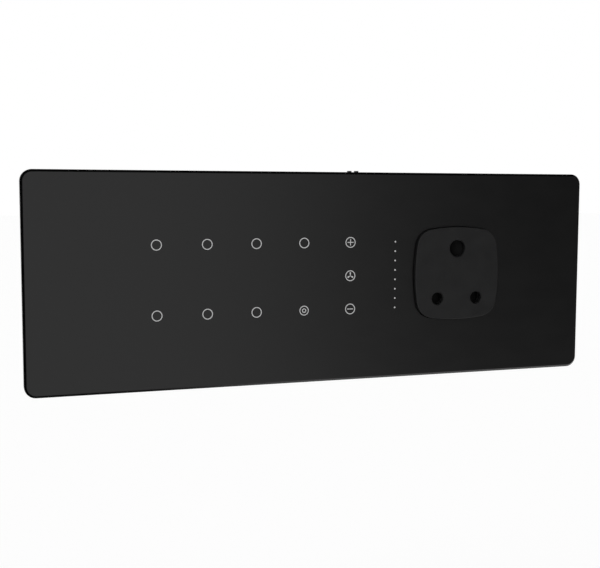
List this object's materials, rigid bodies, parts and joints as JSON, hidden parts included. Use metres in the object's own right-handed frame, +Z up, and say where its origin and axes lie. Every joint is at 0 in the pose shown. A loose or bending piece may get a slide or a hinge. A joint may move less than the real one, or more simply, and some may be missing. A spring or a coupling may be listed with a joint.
{
  "type": "touch switch panel with socket",
  "caption": "Flush wall panel with a black glass front, touch keys marked by rings, a fan speed control and a raised shuttered socket, on a housing that goes in a wall box.",
  "frame": {"origin": "middle of the two fixing-screw slots, in the plane of the wall", "axes": "+X to the right as seen from the room, +Y into the wall, +Z up"},
  "size_m": [0.252, 0.0506, 0.0906],
  "materials": {
    "black_glass": "back-painted black glass, polished",
    "mark_enamel": "pale grey filled marks",
    "diffuser": "milky film",
    "tape_foam": "black foam tape",
    "frame_plastic": "fine spark-eroded black plastic",
    "housing_plastic": "dark grey flame-resistant plastic",
    "rivet_nylon": "natural nylon",
    "barrier_plastic": "natural insulating sheet",
    "touch_laminate": "green solder mask on glass laminate",
    "power_laminate": "green solder mask on glass laminate",
    "conductive_foam": "conductive foam",
    "lamp_resin": "lamp resin",
    "chip_epoxy": "moulded epoxy",
    "tinned_steel": "tinned sheet steel",
    "header_nylon": "black nylon",
    "gilt_pin": "gold-flashed brass",
    "relay_base": "black base resin",
    "relay_case": "blue relay cap",
    "module_case": "potted module case",
    "fuse_ceramic": "ceramic tube with plated caps",
    "clip_metal": "tinned spring brass",
    "varistor_coat": "blue epoxy coat",
    "capacitor_sleeve": "printed sleeve on aluminium can",
    "film_capacitor": "yellow capacitor case",
    "heatsink_metal": "extruded aluminium",
    "terminal_plastic": "green terminal plastic",
    "plated_clamp": "nickel-plated brass",
    "zinc_screw": "zinc-plated steel",
    "socket_plastic": "satin black plastic",
    "socket_moulding": "black heat-resistant moulding",
    "shutter_plastic": "black acetal",
    "contact_brass": "bright brass",
    "spring_steel": "spring wire"
  },
  "bodies": {
    "base": {"wall_flange": "housing_plastic", "electronics_tub": "housing_plastic", "socket_tub": "housing_plastic", "safety_barrier": "barrier_plastic", "relay_board": "power_laminate", "relay_driver_chip": "chip_epoxy", "optocouplers": "chip_epoxy", "fan_triac": "chip_epoxy", "header_socket": "header_nylon", "relay_bases": "relay_base", "relay_cases": "relay_case", "power_module": "module_case", "fuse_link": "fuse_ceramic", "fuse_clips": "clip_metal", "surge_varistor": "varistor_coat", "supply_capacitors": "capacitor_sleeve", "snubber_capacitor": "film_capacitor", "triac_heatsink": "heatsink_metal", "terminal_blocks": "terminal_plastic", "terminal_clamps": "plated_clamp", "terminal_screws": "zinc_screw", "contact_screws": "zinc_screw", "board_screws": "zinc_screw", "socket_cover_screws": "zinc_screw", "back_plate_screws": "zinc_screw", "socket_cover": "socket_plastic", "socket_body": "socket_moulding", "socket_back_plate": "socket_moulding", "earth_contact": "contact_brass", "line_contact": "contact_brass", "neutral_contact": "contact_brass", "shutter_spring": "spring_steel"},
    "front": {"glass_panel": "black_glass", "key_ring_inlays": "mark_enamel", "master_key_inlay": "mark_enamel", "fan_key_inlays": "mark_enamel", "speed_dot_inlays": "mark_enamel", "diffuser_film": "diffuser", "bonding_tape": "tape_foam", "front_carrier": "frame_plastic", "carrier_rim": "frame_plastic", "snap_prongs": "frame_plastic", "board_rivets": "rivet_nylon", "touch_board": "touch_laminate", "touch_electrodes": "conductive_foam", "key_lamps": "lamp_resin", "speed_lamps": "lamp_resin", "touch_chip": "chip_epoxy", "radio_board": "touch_laminate", "radio_shield": "tinned_steel", "header_base": "header_nylon", "header_pins": "gilt_pin"},
    "shutter": {"socket_shutter": "shutter_plastic"}
  },
  "joints": [
    {"name": "front_pull_off", "type": "slide", "parent": "base", "child": "front", "axis": [0, -1, 0], "range_m": [0, 0.03]},
    {"name": "shutter_slide", "type": "slide", "parent": "base", "child": "shutter", "axis": [1, 0, 0], "range_m": [0, 0.0056], "stiffness_N_per_m": 120, "springref_m": -0.004, "deforming": ["shutter_spring"]}
  ]
}
